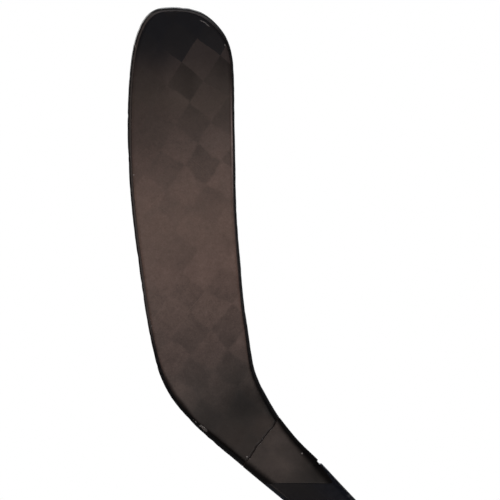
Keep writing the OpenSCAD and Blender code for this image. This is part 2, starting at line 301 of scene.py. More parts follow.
# ---- edge band --------------------------------------------------------------
def edge_band():
    s0 = even(0, 0.0, FACE_END, 0.9)[::-1]
    s1 = even(1, 0.0, FACE_END, 0.9)
    n_ap = 14
    b0, t0 = edge(0, 0)[0], edge(1, 0)[0]
    ap = []
    for f in np.linspace(0, 1, n_ap + 2)[1:-1]:
        ap.append(b0 + (t0 - b0) * f + np.array([0, 0.35 * 4 * f * (1 - f)]))
    plan = np.vstack([edge(0, s0), ap, edge(1, s1)])
    sv = np.concatenate([s0, np.zeros(n_ap), s1])
    side = np.concatenate([np.zeros(len(s0)), np.full(n_ap, 0.5), np.ones(len(s1))])
    tan = np.gradient(plan, axis=0)
    tan /= np.linalg.norm(tan, axis=1)[:, None]
    nor = np.stack([tan[:, 1], -tan[:, 0]], 1)      # points into the blade
    if np.dot(nor[len(s0) // 2], inward(0, [s0[len(s0) // 2]])[0]) < 0:
        nor = -nor
    for _ in range(3):
        nor[1:-1] = (nor[:-2] + 2 * nor[1:-1] + nor[2:]) / 4
    nor /= np.linalg.norm(nor, axis=1)[:, None]
    arc = np.concatenate([[0], np.cumsum(np.linalg.norm(np.diff(plan, axis=0), axis=1))])
    # small dents and rubbed spots on the outline, deepest along the ice edge and the toe
    rng = np.random.default_rng(11)
    dent = np.zeros(len(plan))
    for _ in range(46):
        c = rng.uniform(10, arc[-1] - 10)
        on_top = c > arc[-1] * 0.55
        dent -= (0.10 if on_top else 0.22) * rng.uniform(0.3, 1.0) * np.exp(-((arc - c) / rng.uniform(0.8, 2.6)) ** 2)
    dent += wob(arc, 5, [60, 23, 9], [0.10, 0.06, 0.03]) - 0.05
    rings, a_d, a_s, a_o = [], [], [], []
    for i in range(len(plan)):
        s, h = sv[i], float(ht(sv[i]))
        r = min(float(cr(s)), h - 0.2)
        w = float(bw(s))
        lip = 0.32
        pr = []
        up = 0.07
        pr.append((w + GAP - 0.002, -(h - SKIN_T)))
        pr.append((w + GAP - 0.004, -(h - 0.40)))
        pr.append((w - 0.03, -(h - 0.10)))
        pr.append((w - lip * 0.5, -(h + up * 0.6)))
        pr.append((w - lip, -(h + up)))
        for a in np.linspace(0, 90, 10):
            a = math.radians(a)
            pr.append((r - r * math.sin(a), -(h + up - r) - r * math.cos(a)))
        pr.append((0.0, -(h - r) * 0.5))
        pr.append((0.0, 0.0))
        pr.append((0.0, (h - r) * 0.5))
        for a in np.linspace(90, 180, 10):
            a = math.radians(a)
            pr.append((r - r * math.sin(a), (h + up - r) - r * math.cos(a)))
        pr.append((w - lip, h + up))
        pr.append((w - lip * 0.5, h + up * 0.6))
        pr.append((w - 0.03, h - 0.10))
        pr.append((w + GAP - 0.004, h - 0.40))
        pr.append((w + GAP - 0.002, h - SKIN_T))
        pr = np.array(pr)
        shift = dent[i] * np.clip(1 - pr[:, 0] / 2.0, 0, 1)
        lean = min(1.0, max(0.0, (s - 20.3) / (FACE_END - 20.3)))
        dirn = nor[i]
        if lean > 0:
            u, k0, k1 = across_dir(np.array([s]))
            tgt = u[0] / k0[0] if side[i] < 0.5 else -u[0] / k1[0]
            dirn = nor[i] * (1 - lean) + tgt * lean
        q = plan[i] + dirn * (pr[:, 0] - shift)[:, None]
        rings.append(sp(q, pr[:, 1]))
        a_d.append(pr[:, 0])
        a_s.append(np.full(len(pr), s))
        a_o.append(pr[:, 1] / h)
    rings = np.array(rings)
    n, k = rings.shape[:2]
    faces = grid_faces(n, k, wrap=True)
    v = rings.reshape(-1, 3)
    c0, c1 = rings[0].mean(0), rings[-1].mean(0)
    v = np.vstack([v, c0, c1])
    for j in range(k):
        faces.append((n * k, (j + 1) % k, j))
        faces.append((n * k + 1, (n - 1) * k + j, (n - 1) * k + (j + 1) % k))
    cat = lambda x, y: np.concatenate([np.array(x).ravel(), y])
    ob = make("edge_band_wrap", v, faces, attrs={
        "d_edge": cat(a_d, [1, 1]), "s_par": cat(a_s, [SEAM_S, SEAM_S]), "o_par": cat(a_o, [0, 0]),
        "side": cat(np.repeat(side[:, None], k, 1), [0, 1])}, sharp_deg=60)
    fix_normals(ob)
    ob.data.set_sharp_from_angle(angle=math.radians(60))
    return ob


band = edge_band()


# ---- hosel ------------------------------------------------------------------
def section(s, e, nf=22, nc=12, ns=10):
    """Rounded rectangle section at station s shrunk by e: local x across the face, y through it."""
    b, t = edge(0, s)[0], edge(1, s)[0]
    c, u = (b + t) / 2, (t - b) / np.linalg.norm(t - b)
    w, h = np.linalg.norm(t - b) / 2 - e, float(ht(s)) - e
    r = max(0.6, min(float(cr(s)) - e, h - 0.3))
    loc = []
    for qx, qy, q0 in ((1, 1, 0), (-1, 1, 90), (-1, -1, 180), (1, -1, 270)):
        for a in np.linspace(0, 90, nc + 1):
            a = math.radians(q0 + a)
            loc.append((qx * (w - r) + r * math.cos(a), qy * (h - r) + r * math.sin(a)))
        # flat to the next corner, without its end points
        nx, ny = {0: (-(w - r), h), 90: (-w, -(h - r)), 180: (w - r, -h), 270: (w, h - r)}[q0]
        lx, ly = loc[-1]
        m = nf if q0 in (0, 180) else ns
        for f in np.linspace(0, 1, m + 2)[1:-1]:
            loc.append((lx + (nx - lx) * f, ly + (ny - ly) * f))
    return np.array(loc), c, u, w, h, r


def ring3(s_arr, e, extra=None):
    """Ring whose every point has its own station, so that cut lines can run at an angle."""
    loc0, *_ = section(float(np.mean(s_arr)), e)
    out = np.zeros((len(loc0), 3))
    us, inv = np.unique(np.round(s_arr, 5), return_inverse=True)
    loc_all = {}
    for k, s in enumerate(us):
        loc_all[k] = section(float(s), e)
    for j in range(len(loc0)):
        loc, c, u, *_ = loc_all[inv[j]]
        x, y = loc[j]
        out[j] = (c[0] + u[0] * x, y, c[1] + u[1] * x)
    return out


LOC_REF, _, _, W_REF, H_REF, _ = section(22.5, 0)
XN = LOC_REF[:, 0] / W_REF                          # -1 bottom edge .. +1 top edge
YN = LOC_REF[:, 1] / H_REF                          # -1 forehand .. +1 backhand
CUT_Z = 40.8                                        # the wrap's lower border runs level on the forehand side
NICK_S = 22.92


def level_station(x_n):
    """Station at which the point x_n across the face reaches the level border."""
    ss = np.linspace(21.5, 25.5, 400)
    b, t = edge(0, ss), edge(1, ss)
    z = ((b + t) / 2 + (t - b) / 2 * x_n)[:, 1]
    return float(np.interp(-CUT_Z, -z, ss))


def border():
    out = np.zeros(len(XN))
    for j, (x, y) in enumerate(zip(XN, YN)):
        if y < -0.9:
            v = level_station(x)
        elif y > 0.9:
            v = SLEEVE_S + 0.25 * math.sin(x * 1.3)
        else:
            f = (y + 0.9) / 1.8
            v = level_station(x) * (1 - f) + (SLEEVE_S + 0.25 * math.sin(x * 1.3)) * f
        if x > 0.9:
            v = NICK_S + 0.06
        out[j] = v
    # ease the jump at the top edge over the corner
    for _ in range(6):
        out = (np.roll(out, 1) + 2 * out + np.roll(out, -1)) / 4
    return out


BORDER = border()


def nick(ring, s_arr):
    """A small bite out of the top edge where the sleeve starts."""
    r = ring.copy()
    for j in range(len(r)):
        if XN[j] > 0.7:
            ds = (s_arr[j] - NICK_S) * 22.0          # mm along the edge
            side_l, side_r = 0.9, 2.9                # steep on the toe side, longer on the shaft side
            k = max(0.0, 1 - (ds / side_r if ds > 0 else -ds / side_l))
            depth = 2.3 * min(1.0, k * 1.25) * np.clip((XN[j] - 0.7) / 0.25, 0, 1)
            t = edge(1, s_arr[j])[0]
            b = edge(0, s_arr[j])[0]
            u = (t - b) / np.linalg.norm(t - b)
            r[j, 0] -= u[0] * depth
            r[j, 2] -= u[1] * depth
    return r


def hosel_tube(name, s_rows, e_in, out_shift=0.0, rim=0.3):
    """Closed tube through rows of per-point stations."""
    outer, inner, a_s, a_d = [], [], [], []
    n = len(s_rows)
    for i, sr in enumerate(s_rows):
        d0 = np.abs(sr - s_rows[0]).mean() * 20
        d1 = np.abs(sr - s_rows[-1]).mean() * 20
        drop = 0.0
        for dd in (d0, d1):
            if dd < rim:
                drop = max(drop, rim - math.sqrt(max(0.0, rim * rim - (rim - dd) ** 2)))
        outer.append(nick(ring3(sr, out_shift + drop), sr))
        inner.append(ring3(sr, e_in))
        a_s.append(sr)
        half = np.array([np.linalg.norm(edge(1, s)[0] - edge(0, s)[0]) / 2 for s in sr])
        a_d.append(half * (1 - np.abs(XN)))
    outer, inner = np.array(outer), np.array(inner)
    k = outer.shape[1]
    v = np.vstack([outer.reshape(-1, 3), inner.reshape(-1, 3)])
    f0 = n * k
    faces = grid_faces(n, k, wrap=True) + grid_faces(n, k, f0, wrap=True, flip=True)
    for j in range(k):
        a, b = j, (j + 1) % k
        faces.append((b, a, f0 + a, f0 + b))
        a, b = (n - 1) * k + j, (n - 1) * k + (j + 1) % k
        faces.append((a, b, f0 + b, f0 + a))
    rep = lambda q: np.concatenate([np.array(q).ravel()] * 2)
    at = {"s_par": rep(a_s), "d_edge": rep(a_d),
          "x_par": rep(np.repeat(XN[None], n, 0)), "y_par": rep(np.repeat(YN[None], n, 0))}
    ob = make(name, v, faces, attrs=at, sharp_deg=50)
    fix_normals(ob)
    ob.data.set_sharp_from_angle(angle=math.radians(50))
    return ob


fpar = (XN + 1) / 2
wrap_start = SEAM_S + 0.020 + np.where(YN < -0.9, seam_wave(fpar), 0.0)
wrap_rows = [wrap_start + (BORDER - 0.0006 - wrap_start) * f for f in
             np.concatenate([[0, 0.003, 0.006, 0.01], np.linspace(0.02, 0.93, 48), np.linspace(0.94, 0.99, 9), [0.995, 1.0]])]
hosel_wrap = hosel_tube("hosel_wrap_laminate", wrap_rows, WRAP_T)
LOFT_END = END_S - 3.05 / 27.3
sl_rows = [BORDER + (LOFT_END - BORDER) * f for f in
           np.concatenate([[0, 0.002, 0.005, 0.009], np.linspace(0.015, 0.06, 9), np.linspace(0.075, 0.985, 52), [0.993, 1.0]])]
end_sleeve = hosel_tube("end_sleeve_coated", sl_rows, WRAP_T, out_shift=0.05)


def bead():
    outer, inner, a_s = [], [], []
    for f, e in ((0.0, 0.40), (0.25, 0.28), (0.5, 0.24), (0.75, 0.28), (1.0, 0.40)):
        s0 = FACE_END - 0.0025 + np.where(YN < -0.9, seam_wave(fpar), 0.0)
        s1 = wrap_start - 0.001
        sr = s0 + (s1 - s0) * f
        outer.append(ring3(sr, e))
        inner.append(ring3(sr, 1.3))
        a_s.append(sr)
    outer, inner = np.array(outer), np.array(inner)
    n, k = outer.shape[:2]
    v = np.vstack([outer.reshape(-1, 3), inner.reshape(-1, 3)])
    f0 = n * k
    faces = grid_faces(n, k, wrap=True) + grid_faces(n, k, f0, wrap=True, flip=True)
    for j in range(k):
        a, b = j, (j + 1) % k
        faces.append((b, a, f0 + a, f0 + b))
        a, b = (n - 1) * k + j, (n - 1) * k + (j + 1) % k
        faces.append((a, b, f0 + b, f0 + a))
    ob = make("seam_bead_adhesive", v, faces)
    fix_normals(ob)
    return ob


seam_bead = bead()


# ---- shoulder and tenon -----------------------------------------------------
def rrect(w, t, r, nc=8, nf=6):
    out = []
    w, t = w / 2, t / 2
    for qx, qy, q0 in ((1, 1, 0), (-1, 1, 90), (-1, -1, 180), (1, -1, 270)):
        for a in np.linspace(0, 90, nc + 1):
            a = math.radians(q0 + a)
            out.append((qx * (w - r) + r * math.cos(a), qy * (t - r) + r * math.sin(a)))
        nx, ny = {0: (-(w - r), t), 90: (-w, -(t - r)), 180: (w - r, -t), 270: (w, t - r)}[q0]
        lx, ly = out[-1]
        for f in np.linspace(0, 1, nf + 2)[1:-1]:
            out.append((lx + (nx - lx) * f, ly + (ny - ly) * f))
    return np.array(out)


def place(a, loc):
    """Local section points at distance a along the shaft axis."""
    return np.stack([SH_D[0] * a + SH_N[0] * loc[:, 0], loc[:, 1], SH_D[1] * a + SH_N[1] * loc[:, 0]], 1)


def loft_obj(name, rings, hollow=None, attrs=None):
    """Solid through rings; with hollow, a tube with those inner rings."""
    n, k = len(rings), len(rings[0])
    v = np.vstack(rings)
    faces = grid_faces(n, k, wrap=True)
    if hollow is None:
        v = np.vstack([v, rings[0].mean(0), rings[-1].mean(0)])
        for j in range(k):
            faces.append((n * k, (j + 1) % k, j))
            faces.append((n * k + 1, (n - 1) * k + j, (n - 1) * k + (j + 1) % k))
    else:
        m = len(hollow)
        f0 = n * k
        v = np.vstack([v] + hollow)
        faces += grid_faces(m, k, f0, wrap=True, flip=True)
        for j in range(k):
            a, b = j, (j + 1) % k
            faces.append((b, a, f0 + a, f0 + b))
            a, b = (n - 1) * k + j, (n - 1) * k + (j + 1) % k
            c, d = f0 + (m - 1) * k + j, f0 + (m - 1) * k + (j + 1) % k
            faces.append((a, b, d, c))
    ob = make(name, v, faces, sharp_deg=40)
    fix_normals(ob)
    ob.data.set_sharp_from_angle(angle=math.radians(40))
    return ob


def rounded_run(a0, a1, w, t, r, ch, n_mid=2, ease=3):
    """Rings from a0 to a1 with small rounded rims."""
    out = []
    for f in np.linspace(0, 1, ease + 1):
        q = ch * (1 - math.sin(f * math.pi / 2))
        out.append(place(a0 + ch * (1 - math.cos(f * math.pi / 2)), rrect(w - 2 * q, t - 2 * q, max(0.3, r - q))))
    for f in np.linspace(0, 1, n_mid + 2)[1:-1]:
        out.append(place(a0 + ch + (a1 - a0 - 2 * ch) * f, rrect(w, t, r)))
    for f in np.linspace(0, 1, ease + 1):
        q = ch * (1 - math.cos(f * math.pi / 2))
        out.append(place(a1 - ch + ch * math.sin(f * math.pi / 2), rrect(w - 2 * q, t - 2 * q, max(0.3, r - q))))
    return out


hole = [place(a, rrect(TENON_W + 0.1, TENON_T + 0.1, 2)) for a in (-3.0, -1.5, 0.0)]
collar = loft_obj("shoulder_collar_ring", rounded_run(-3.0, 0.0, SHAFT_W, SHAFT_T, SHAFT_R, 0.45), hole)
bore = [place(a, rrect(TENON_W - 2 * TENON_WALL, TENON_T - 2 * TENON_WALL, 0.8)) for a in (-ROOT_L, 10.0, 40.0, TENON_L)]
tenon = loft_obj("tenon_plug", rounded_run(-ROOT_L, TENON_L, TENON_W, TENON_T, 2.0, 0.35, n_mid=24), bore)


def end_cap():
    pw, pt = TENON_W - 2 * TENON_WALL - 0.1, TENON_T - 2 * TENON_WALL - 0.1
    rings = []
    for a, w, t, r in ((TENON_L - 6, pw - 1, pt - 1, 0.6), (TENON_L - 5.5, pw, pt, 0.8), (TENON_L + 0.05, pw, pt, 0.8),
                       (TENON_L + 0.05, TENON_W - 0.8, TENON_T - 0.8, 1.7), (TENON_L + 0.15, TENON_W - 0.6, TENON_T - 0.6, 1.8),
                       (TENON_L + 1.1, TENON_W - 0.6, TENON_T - 0.6, 1.8), (TENON_L + 1.38, TENON_W - 0.85, TENON_T - 0.85, 1.75),
                       (TENON_L + 1.5, TENON_W - 1.5, TENON_T - 1.5, 1.6), (TENON_L + 1.5, TENON_W - 5.0, TENON_T - 5.0, 1.2),
                       (TENON_L + 1.2, TENON_W - 5.8, TENON_T - 5.8, 1.0)):
        rings.append(place(a, rrect(w, t, r)))
    return loft_obj("tenon_end_cap_plug", rings)


cap = end_cap()


def strips():
    """Four thin glue strips with softly swelling, slightly uneven outlines."""
    verts, faces = [], []
    L = TENON_L - 14
    n, m = 60, 13

    def add(center_fn):
        base = len(verts)
        for lay in (0, 1):
            for i in range(n):
                for j in range(m):
                    verts.append(center_fn(i / (n - 1), j / (m - 1), lay))
        f0 = n * m
        for f in grid_faces(n, m, base):
            faces.append(f)
        for f in grid_faces(n, m, base + f0, flip=True):
            faces.append(f)
        for i in range(n - 1):
            a, b = base + i * m, base + (i + 1) * m
            faces.append((a, b, b + f0, a + f0))
            a, b = a + m - 1, b + m - 1
            faces.append((b, a, a + f0, b + f0))
        for j in range(m - 1):
            a = base + j
            faces.append((a + 1, a, a + f0, a + 1 + f0))
            a = base + (n - 1) * m + j
            faces.append((a, a + 1, a + 1 + f0, a + f0))

    def sheet(width, half, axis, sgn, seed):
        def fn(u, v, lay):
            x = 7 + L * u
            wv = width / 2 * (1 - 0.06 - 0.03 * math.sin(x * 0.9 + seed) - 0.02 * math.sin(x * 2.3 + seed * 2))
            end = min(1.0, min(u, 1 - u) * 22)
            wv *= 0.55 + 0.45 * math.sqrt(end)
            y = (2 * v - 1) * wv
            swell = (1 - (2 * v - 1) ** 4) * min(1.0, math.sqrt(end))
            o = half + (0.002 if lay == 0 else 0.03 + 0.25 * swell * (1 + 0.08 * math.sin(x * 1.4 + seed) * math.sin(y * 1.2 + seed)))
            o *= sgn
            if axis == "y":
                return tuple(np.array([SH_D[0] * x + SH_N[0] * y, o, SH_D[1] * x + SH_N[1] * y]))
            return tuple(np.array([SH_D[0] * x + SH_N[0] * o, y, SH_D[1] * x + SH_N[1] * o]))
        return fn

    add(sheet(15, TENON_T / 2, "y", 1, 1.0))
    add(sheet(15, TENON_T / 2, "y", -1, 2.0))
    add(sheet(8, TENON_W / 2, "x", 1, 3.0))
    add(sheet(8, TENON_W / 2, "x", -1, 4.0))
    ob = make("glue_strips_film", np.array(verts), faces, sharp_deg=60)
    fix_normals(ob)
    ob.data.set_sharp_from_angle(angle=math.radians(60))
    return ob


glue = strips()

# ----------------------------------------------------------------------------
# Materials
# ----------------------------------------------------------------------------
def lin(c):
    """8-bit display colour to linear."""
    out = []
    for v in c:
        v = v / 255.0
        out.append(v / 12.92 if v <= 0.04045 else ((v + 0.055) / 1.055) ** 2.4)
    return out


class Mat:
    """Small helper that writes shader nodes as expressions."""

    def __init__(self, name):
        self.m = bpy.data.materials.new(name)
        self.m.use_nodes = True
        self.t = self.m.node_tree
        self.t.nodes.clear()
        self.out = self.t.nodes.new("ShaderNodeOutputMaterial")
        tc = self.t.nodes.new("ShaderNodeTexCoord")
        sc = self.t.nodes.new("ShaderNodeVectorMath")
        sc.operation = "SCALE"
        self.t.links.new(tc.outputs["Object"], sc.inputs[0])
        sc.inputs["Scale"].default_value = 1000.0
        self.P = sc.outputs[0]                      # millimetres
        sx = self.t.nodes.new("ShaderNodeSeparateXYZ")
        self.t.links.new(self.P, sx.inputs[0])
        self.x, self.y, self.z = sx.outputs

    def put(self, sock, v):
        if isinstance(v, bpy.types.NodeSocket):
            self.t.links.new(v, sock)
        elif v is not None:
            if hasattr(sock.default_value, "__len__") and not hasattr(v, "__len__"):
                v = [v] * len(sock.default_value)
            if hasattr(sock.default_value, "__len__") and len(sock.default_value) == 4 and len(v) == 3:
                v = list(v) + [1.0]
            sock.default_value = v

    def f(self, op, a, b=None, c=None, clamp=False):
        n = self.t.nodes.new("ShaderNodeMath")
        n.operation = op
        n.use_clamp = clamp
        for s, v in zip(n.inputs, (a, b, c)):
            self.put(s, v)
        return n.outputs[0]

    def add(self, a, b): return self.f("ADD", a, b)
    def sub(self, a, b): return self.f("SUBTRACT", a, b)
    def mul(self, a, b): return self.f("MULTIPLY", a, b)

    def step(self, v, a, b, smooth=True):
        """0 at a to 1 at b."""
        n = self.t.nodes.new("ShaderNodeMapRange")
        n.interpolation_type = "SMOOTHSTEP" if smooth else "LINEAR"
        self.put(n.inputs["Value"], v)
        flip = a > b
        n.inputs["From Min"].default_value = min(a, b)
        n.inputs["From Max"].default_value = max(a, b)
        n.inputs["To Min"].default_value = 1.0 if flip else 0.0
        n.inputs["To Max"].default_value = 0.0 if flip else 1.0
        return n.outputs[0]

    def lerp(self, a, b, t):
        n = self.t.nodes.new("ShaderNodeMix")
        n.data_type = "FLOAT"
        self.put(n.inputs[0], t)
        self.put(n.inputs[2], a)
        self.put(n.inputs[3], b)
        return n.outputs[0]

    def mix(self, a, b, t, mode="MIX"):
        n = self.t.nodes.new("ShaderNodeMix")
        n.data_type = "RGBA"
        n.blend_type = mode
        self.put(n.inputs[0], t)
        self.put(n.inputs[6], a)
        self.put(n.inputs[7], b)
        return n.outputs[2]

    def vmix(self, a, b, t):
        n = self.t.nodes.new("ShaderNodeMix")
        n.data_type = "VECTOR"
        self.put(n.inputs[0], t)
        self.put(n.inputs[4], a)
        self.put(n.inputs[5], b)
        return n.outputs[1]

    def vec(self, x, y, z):
        n = self.t.nodes.new("ShaderNodeCombineXYZ")
        for s, v in zip(n.inputs, (x, y, z)):
            self.put(s, v)
        return n.outputs[0]

    def noise(self, v, scale, detail=2.0, rough=0.5, dist=0.0, seed=0.0):
        n = self.t.nodes.new("ShaderNodeTexNoise")
        n.noise_dimensions = "4D" if seed else "3D"
        self.put(n.inputs["Vector"], v)
        n.inputs["Scale"].default_value = scale
        n.inputs["Detail"].default_value = detail
        n.inputs["Roughness"].default_value = rough
        n.inputs["Distortion"].default_value = dist
        if seed:
            n.inputs["W"].default_value = seed
        return n.outputs["Fac"]

    def attr(self, name):
        n = self.t.nodes.new("ShaderNodeAttribute")
        n.attribute_name = name
        return n.outputs["Fac"]

    def ramp(self, v, stops, mode="LINEAR"):
        """Colour ramp over v in 0..1; at most 32 stops of (place, colour)."""
        n = self.t.nodes.new("ShaderNodeValToRGB")
        n.color_ramp.interpolation = mode
        el = n.color_ramp.elements
        while len(el) > 1:
            el.remove(el[-1])
        el[0].position = stops[0][0]
        el[0].color = list(stops[0][1]) + [1.0]
        for p, c in stops[1:]:
            e = el.new(p)
            e.color = list(c) + [1.0]
        self.put(n.inputs[0], v)
        return n.outputs[0]

    def scale(self, col, v):
        n = self.t.nodes.new("ShaderNodeVectorMath")
        n.operation = "SCALE"
        self.put(n.inputs[0], col)
        self.put(n.inputs["Scale"], v)
        return n.outputs[0]

    def turn(self, deg, lx, lz):
        """In-plane coordinates turned by deg and stretched: lx, lz are feature lengths in mm."""
        c, s = math.cos(math.radians(deg)), math.sin(math.radians(deg))
        u = self.add(self.mul(self.x, c / lx), self.mul(self.z, s / lx))
        v = self.add(self.mul(self.x, -s / lz), self.mul(self.z, c / lz))
        return self.vec(u, v, self.mul(self.y, 0.02))

    def spot(self, x, z, rx, rz=None, deg=0.0, soft=0.35):
        """Elliptic mask around a place on the blade, in mm."""
        rz = rz or rx
        c, s = math.cos(math.radians(deg)), math.sin(math.radians(deg))
        dx, dz = self.sub(self.x, x), self.sub(self.z, z)
        u = self.add(self.mul(dx, c / rx), self.mul(dz, s / rx))
        v = self.add(self.mul(dx, -s / rz), self.mul(dz, c / rz))
        d = self.f("SQRT", self.add(self.mul(u, u), self.mul(v, v)))
        return self.step(d, 1.0 + soft, 1.0 - soft)

    def bump(self, height, dist_mm, strength=1.0, normal=None):
        n = self.t.nodes.new("ShaderNodeBump")
        n.inputs["Strength"].default_value = strength
        n.inputs["Distance"].default_value = dist_mm * 0.001
        self.put(n.inputs["Height"], height)
        if normal is not None:
            self.put(n.inputs["Normal"], normal)
        return n.outputs[0]

    def surface(self, **kw):
        b = self.t.nodes.new("ShaderNodeBsdfPrincipled")
        for k, v in kw.items():
            self.put(b.inputs[k.replace("_", " ")], v)
        self.t.links.new(b.outputs[0], self.out.inputs[0])
        return b


def at(u, v):
    """A place on the forehand side, from its position in a 500-unit front view."""
    return 0.71 * u - 259.1, 383.7 - 0.71 * v


def row_pos(v):
    """Ramp place of a front-view row."""
    return v / 500.0


def weave(M):
    """Spread-tow cloth: returns (dark cell mask, cell coordinates i and j)."""
    ax, az, bx, bz = 16.33, -12.28, -10.65, -16.54
    det = ax * bz - bx * az
    calm = M.step(M.z, 345, 290)                   # the tows lie straighter at the toe
    wx = M.mul(M.sub(M.noise(M.P, 0.040, 1.5, 0.5, seed=3.1), 0.5), M.add(4.5, M.mul(calm, 6.0)))
    wz = M.mul(M.sub(M.noise(M.P, 0.040, 1.5, 0.5, seed=7.7), 0.5), M.add(4.5, M.mul(calm, 6.0)))
    rag = M.mul(M.sub(M.noise(M.P, 0.45, 3.0, 0.6, seed=1.3), 0.5), M.add(1.0, M.mul(calm, 1.6)))
    # toward the heel the cells drift to the bottom edge
    drift_x = M.sub(M.mul(M.step(M.z, 172, 124), 7.2), M.mul(M.step(M.z, 118, 86), 3.6))
    drift_z = M.mul(M.step(M.z, 162, 136), 2.1)
    x = M.add(M.add(M.add(M.add(M.x, 115.7), wx), rag), drift_x)
    z = M.add(M.add(M.add(M.sub(M.z, 267.0), wz), rag), drift_z)
    i = M.add(M.mul(x, bz / det), M.mul(z, -bx / det))
    j = M.add(M.mul(z, ax / det), M.mul(x, -az / det))
    # checker with slightly soft borders: product of two triangle waves
    ti = M.sub(M.f("PINGPONG", M.add(i, 60.0), 1.0), 0.5)
    tj = M.sub(M.f("PINGPONG", M.add(j, 60.0), 1.0), 0.5)
    soft = M.add(M.add(0.016, M.mul(calm, 0.030)), M.mul(M.step(M.z, 150, 112), 0.055))
    si = M.f("DIVIDE", ti, soft, clamp=False)
    sj = M.f("DIVIDE", tj, soft, clamp=False)
    si = M.f("MAXIMUM", M.f("MINIMUM", si, 1.0), -1.0)
    sj = M.f("MAXIMUM", M.f("MINIMUM", sj, 1.0), -1.0)
    dark = M.add(0.5, M.mul(M.mul(si, sj), 0.5))
    return dark, i, j


